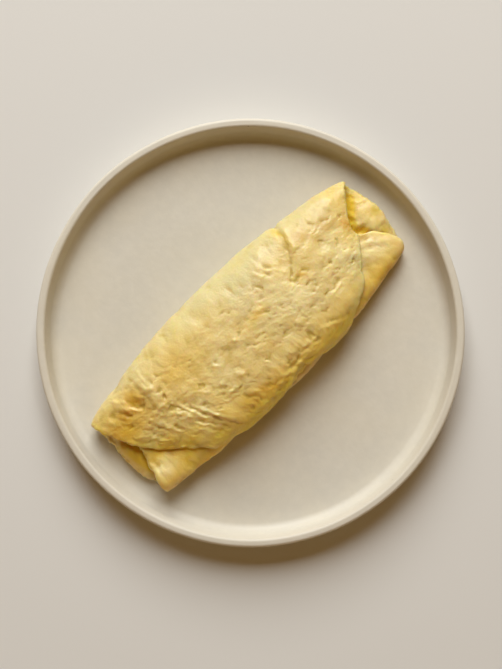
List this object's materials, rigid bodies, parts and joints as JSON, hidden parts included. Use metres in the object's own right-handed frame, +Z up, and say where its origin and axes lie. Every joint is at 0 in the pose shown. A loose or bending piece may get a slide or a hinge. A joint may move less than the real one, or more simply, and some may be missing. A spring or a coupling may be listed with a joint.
{
  "type": "folded omelette",
  "caption": "Cooked egg sheet folded over itself lengthwise, with open ends and a thin crinkled flap edge, lying on a round low plate with an upright rim.",
  "frame": {"origin": "centre of the plate's foot, on the surface the plate stands on", "axes": "+Z up, +X along the omelette's length, +Y towards the omelette's closed long side"},
  "size_m": [0.22, 0.22, 0.0325],
  "materials": {
    "glaze": "satin warm off-white glaze with sparse dark specks",
    "egg": "cooked egg, moist and softly glossy, golden with tan mottling"
  },
  "bodies": {
    "root": {"plate": "glaze", "omelette": "egg"}
  },
  "joints": []
}
